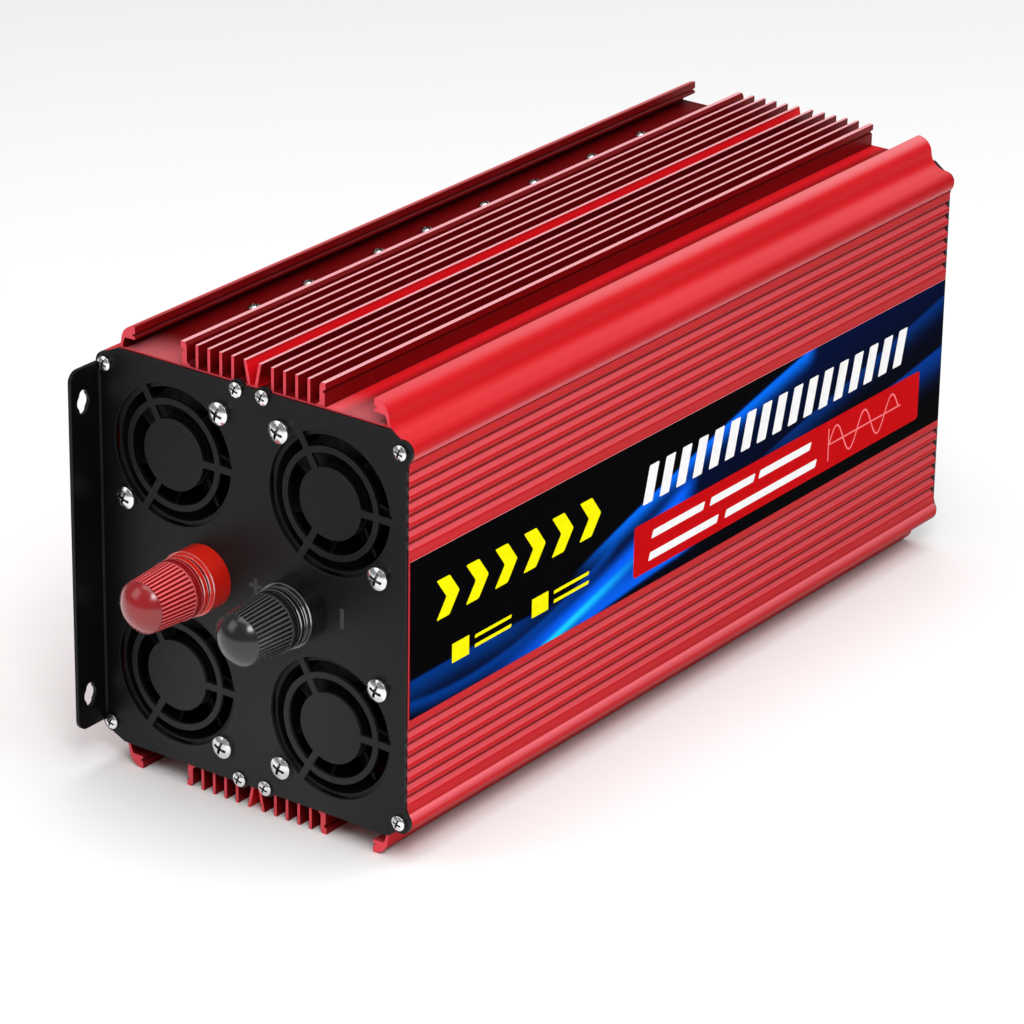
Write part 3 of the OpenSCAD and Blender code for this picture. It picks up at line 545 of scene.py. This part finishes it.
# material slot: dark colour, light colour, roughness, then the rest of what moulded() takes
MOULDED = {
    "fan_black": ((0.003, 0.003, 0.0034), (0.006, 0.006, 0.0066), 0.50, 0.2),
    "red_plastic": (*RED_PLASTIC, 0.22, 0.4, 1.0, 400, 0.03, 0.65),
    "black_plastic": (*BLACK_PLASTIC, 0.22, 0.4, 1.0, 400, 0.03, 0.65),
    "green_board": ((0.012, 0.10, 0.035), (0.025, 0.17, 0.06), 0.38, 0.5, 0.3),
    "ferrite": ((0.035, 0.035, 0.038), (0.07, 0.07, 0.075), 0.62, 0.4, 0.0, 900, 0.4),
    "winding_tape": ((0.62, 0.38, 0.03), (0.80, 0.52, 0.05), 0.36, 0.5, 0.2),
    "can_sleeve": ((0.008, 0.012, 0.06), (0.015, 0.022, 0.10), 0.28, 0.5, 0.3),
    "black_epoxy": ((0.014, 0.014, 0.015), (0.026, 0.026, 0.028), 0.55, 0.4, 0.0, 1800, 0.3),
    "fuse_orange": ((0.65, 0.16, 0.01), (0.85, 0.26, 0.02), 0.26, 0.5, 0.3),
    "socket_black": ((0.012, 0.012, 0.013), (0.022, 0.022, 0.024), 0.42, 0.45),
    "light_green": ((0.06, 0.42, 0.08), (0.12, 0.62, 0.14), 0.16, 0.5, 0.4),
    "lead_sleeve": ((0.01, 0.015, 0.18), (0.02, 0.03, 0.30), 0.40, 0.45),
}

# material slot: dark colour, light colour, roughness, then the rest of what metal() takes
METALS = {
    "zinc_steel": ((0.50, 0.50, 0.52), (0.70, 0.70, 0.71), 0.34, (700, 700, 700),
                   (0.85, 0.85, 0.86)),
    "coil_copper": ((0.50, 0.20, 0.07), (0.78, 0.36, 0.14), 0.34, (300, 5200, 300), None, 0.5),
    "brass": ((0.62, 0.42, 0.14), (0.84, 0.62, 0.26), 0.26, (1200, 300, 1200),
              (0.95, 0.80, 0.45)),
    "bus_copper": ((0.62, 0.26, 0.13), (0.84, 0.42, 0.24), 0.30, (300, 2000, 300),
                   (0.95, 0.60, 0.42)),
    "plain_aluminium": ((0.55, 0.55, 0.57), (0.72, 0.72, 0.74), 0.36, (1600, 12, 1600),
                        (0.85, 0.85, 0.86)),
}

FINISHES = {
    "red_anodised": red_anodised(),
    "black_sheet": black_sheet(),
    "label_film": label_film(),
    "plated_screw": plated_screw(),
}
FINISHES.update({slot: moulded(slot, *values) for slot, values in MOULDED.items()})
FINISHES.update({slot: metal(slot, *values) for slot, values in METALS.items()})

for part in frame["record"]["subparts"]:
    shown = nodes[part["node"]]
    shown.data.materials.clear()
    shown.data.materials.append(FINISHES[part["material_slot"]])
# colours: painted shade for the flutes, the body, then painted highlight for the ridges
nodes["red_knob"].data.materials[0] = fluted(
    "red_flutes", "red_knob", (0.20, 0.002, 0.003), (0.25, 0.005, 0.008), (0.96, 0.15, 0.16), 0.22)
nodes["black_knob"].data.materials[0] = fluted(
    "black_flutes", "black_knob", (0.001, 0.001, 0.001), (0.007, 0.007, 0.008),
    (0.075, 0.075, 0.078), 0.20)

# the painted highlights along the rims of a terminal's turned pieces: radius, and how far back
# from the piece's front
RINGS = ((13.2 * MM, 0.0), (13.2 * MM, 2.5 * MM))
BASES = ((12.8 * MM, 0.0), (14.0 * MM, 1.2 * MM))
# each call: the plastic's colours, then painted shade for the gaps, painted highlight for the rims
# and for the glint
for piece, rims in (("ring", RINGS), ("base", BASES)):
    nodes[f"red_{piece}"].data.materials[0] = turned(
        f"red_{piece}_plastic", f"red_{piece}", rims, *RED_PLASTIC,
        (0.14, 0.001, 0.001), (0.80, 0.20, 0.19), (0.98, 0.80, 0.78))
    nodes[f"black_{piece}"].data.materials[0] = turned(
        f"black_{piece}_plastic", f"black_{piece}", rims, *BLACK_PLASTIC,
        (0.0008, 0.0008, 0.0008), (0.16, 0.16, 0.165), (0.80, 0.80, 0.80))

# ---- printing on the label and the plate -------------------------------------

CORNER_STEPS = 4
# in mm off the surface
PRINT_BACK = -0.03
PRINT_THICK = 0.05


def rounded(outline, radius):
    """Rounds an outline's corners with small curves."""
    points = []
    for i, here in enumerate(outline):
        here = Vector(here)
        before = Vector(outline[i - 1]) - here
        after = Vector(outline[(i + 1) % len(outline)]) - here
        a = here + before.normalized() * min(radius, before.length / 2.1)
        b = here + after.normalized() * min(radius, after.length / 2.1)
        for k in range(CORNER_STEPS + 1):
            t = k / CORNER_STEPS
            points.append(a * (1 - t) ** 2 + here * (2 * t * (1 - t)) + b * t ** 2)
    return points


def slanted(x0, x1, z0, z1, lean=0.0):
    """A bar whose top end is shifted sideways by the lean."""
    return [(x0, z0), (x1, z0), (x1 + lean, z1), (x0 + lean, z1)]


def ribbon(points, width):
    """The outline of a line of even width through the points."""
    left, right = [], []
    for i, here in enumerate(points):
        ahead = Vector(points[min(i + 1, len(points) - 1)]) - Vector(points[max(i - 1, 0)])
        side = Vector((-ahead.y, ahead.x)).normalized() * width / 2
        left.append(Vector(here) + side)
        right.append(Vector(here) - side)
    return left + right[::-1]


def printed(name, outlines, place, finish, thick=PRINT_THICK):
    """Raises flat outlines (in mm) off a surface by the thickness of a print."""
    shape = bmesh.new()
    for outline in outlines:
        back = [shape.verts.new(place(a, b, PRINT_BACK)) for a, b in outline]
        front = [shape.verts.new(place(a, b, thick)) for a, b in outline]
        shape.faces.new(front)
        shape.faces.new(back[::-1])
        for i in range(len(outline)):
            shape.faces.new((back[i - 1], back[i], front[i], front[i - 1]))
    bmesh.ops.recalc_face_normals(shape, faces=shape.faces)
    mesh = bpy.data.meshes.new(name)
    shape.to_mesh(mesh)
    shape.free()
    mesh.materials.append(finish)
    piece = bpy.data.objects.new(name, mesh)
    scene.collection.objects.link(piece)
    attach(piece, "chassis")


def label_art():
    """Plain printed shapes where the label of a real one has its words and numbers."""
    low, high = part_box("side_label")

    def place(a, b, off):
        return Vector((high.x + off * MM, low.y + a * MM, low.z + b * MM))

    yellow = ink("ink_yellow", (0.86, 0.80, 0.0), (0.98, 0.92, 0.0))
    white = ink("ink_white", (0.84, 0.84, 0.84), (0.94, 0.94, 0.94))
    red = ink("ink_red", (0.50, 0.0004, 0.002), (0.56, 0.0006, 0.003))
    pink = ink("ink_pink", (0.86, 0.16, 0.18), (0.95, 0.22, 0.24))
    # all of these are mm along the label and up it, from its lower near corner
    blocks = []
    for i in range(6):
        x = 17 + 19.6 * i
        blocks.append(rounded([(x, 37.5), (x + 8.6, 37.5), (x + 15.2, 46.2), (x + 8.6, 55),
                               (x, 55), (x + 6.6, 46.2)], 0.8))
    for x in (27.6, 82.1):
        blocks.append(rounded(slanted(x, x + 11.5, 15, 23.5), 0.3))
        for z in (16.4, 20.6):
            blocks.append(rounded(slanted(x + 15.2, x + 40, z, z + 1.5, 0.5), 0.4))
    printed("print_yellow", blocks, place, yellow)
    bars = [rounded(slanted(161 + 12.35 * i, 168 + 12.35 * i, 38.5, 55.5, 4.6), 0.7)
            for i in range(17)]
    printed("print_white", bars, place, white)
    panel = rounded(slanted(155.2, 382.6, 6.7, 30.2), 1.8)
    printed("print_panel", [panel], place, red)

    def on_panel(a, b, off):
        return place(a, b, off + PRINT_THICK)

    rules = []
    for x0, x1, z in ((168, 207, 21), (212, 246, 21), (250, 291, 21),
                      (166, 218, 11.2), (224, 296, 11.2)):
        rules.append(rounded(slanted(x0, x1, z, z + 3.6, 1.4), 0.7))
    printed("print_rules", rules, on_panel, white)
    wave_points = 61
    wave = []
    for i in range(wave_points):
        t = i / (wave_points - 1)
        wave.append((307 + 58 * t, 18.4 + 7.6 * math.sin(5 * math.pi * t)))
    level, upright = slanted(306.6, 367, 18.0, 18.75), slanted(306.2, 307.0, 10.6, 26.2)
    for i, line in enumerate([ribbon(wave, 0.85), level, upright]):
        printed(f"print_wave_{i}", [line], on_panel, pink, 0.03 + 0.01 * i)


PLATE_THICK = 1.6 * MM


def plate_marks():
    """Plain plus and minus signs beside the terminals."""
    low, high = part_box("front_plate")
    face = high.y - PLATE_THICK
    mid = (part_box("red_knob")[0].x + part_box("black_knob")[1].x) / 2
    axis = (low.z + high.z) / 2

    def place(a, b, off):
        return Vector((mid + a * MM, face - off * MM, axis + b * MM))

    grey = ink("ink_grey", (0.050, 0.050, 0.052), (0.070, 0.070, 0.074))
    plus = [(-1.4, 2.1), (1.1, 2.1), (1.1, -0.4), (2.9, -0.4), (2.9, 2.1), (5.4, 2.1), (5.4, 3.9),
            (2.9, 3.9), (2.9, 6.4), (1.1, 6.4), (1.1, 3.9), (-1.4, 3.9)]
    printed("mark_plus", [plus], place, grey)
    printed("mark_minus", [slanted(45.5, 47.5, -3.4, 5.4)], place, grey)


label_art()
plate_marks()


# ---- lights and floor --------------------------------------------------------

FLOOR_REACH = 14.0
# how strongly the room lights the object, and how bright it looks to the camera
ROOM_LIGHT = 0.25
ROOM_LOOK = 0.92
# name, place, aim, size in metres and watts of each soft light
SOFTBOXES = (
    ("overhead", (0.3, -0.1, 2.7), (0.1, -0.1, 0), (3.0, 3.0), 65),
    ("back_right", (0.95, 1.75, 1.30), (0, 0, 0.1), (1.0, 0.7), 4),
    ("right", (1.8, -0.2, 1.6), (0, 0, 0.1), (1.2, 1.2), 7),
    ("front_right", (1.15, -1.3, 1.6), (0.05, -0.15, 0.15), (0.7, 0.7), 17),
    ("front_left", (-1.1, -1.5, 1.2), (0, 0, 0.1), (1.0, 1.0), 5),
)


def make_floor():
    mesh = bpy.data.meshes.new("floor")
    reach = FLOOR_REACH
    mesh.from_pydata([(-reach, -reach, 0), (reach, -reach, 0), (reach, reach, 0),
                      (-reach, reach, 0)], [], [(0, 1, 2, 3)])
    floor = bpy.data.objects.new("floor", mesh)
    scene.collection.objects.link(floor)
    floor.location.z = cad_low.z
    f = Finish("floor_paper", (0.94, 0.94, 0.94), 0.75, 0.0, Specular_IOR_Level=0.2)
    f.set("Base Color", f.mix(f.noise(2.0, 2.0), (0.93, 0.93, 0.93), (0.95, 0.95, 0.95)))
    mesh.materials.append(f.done())


def softbox(name, at, to, size, watts):
    data = bpy.data.lights.new(name, "AREA")
    data.shape = "RECTANGLE"
    data.size, data.size_y = size
    data.energy = watts
    light = bpy.data.objects.new(name, data)
    scene.collection.objects.link(light)
    light.location = at
    light.rotation_mode = "QUATERNION"
    light.rotation_quaternion = (Vector(to) - Vector(at)).to_track_quat("-Z", "Y")


def make_lights():
    world = bpy.data.worlds.new("studio")
    scene.world = world
    world.use_nodes = True
    background = world.node_tree.nodes["Background"]
    background.inputs["Color"].default_value = (1.0, 1.0, 1.0, 1.0)
    # the room looks pale behind the object, and lights it less than it looks
    ray = world.node_tree.nodes.new("ShaderNodeLightPath")
    strength = world.node_tree.nodes.new("ShaderNodeMapRange")
    strength.inputs["To Min"].default_value = ROOM_LIGHT
    strength.inputs["To Max"].default_value = ROOM_LOOK
    world.node_tree.links.new(ray.outputs["Is Camera Ray"], strength.inputs["Value"])
    world.node_tree.links.new(strength.outputs["Result"], background.inputs["Strength"])
    for values in SOFTBOXES:
        softbox(*values)


make_floor()
make_lights()
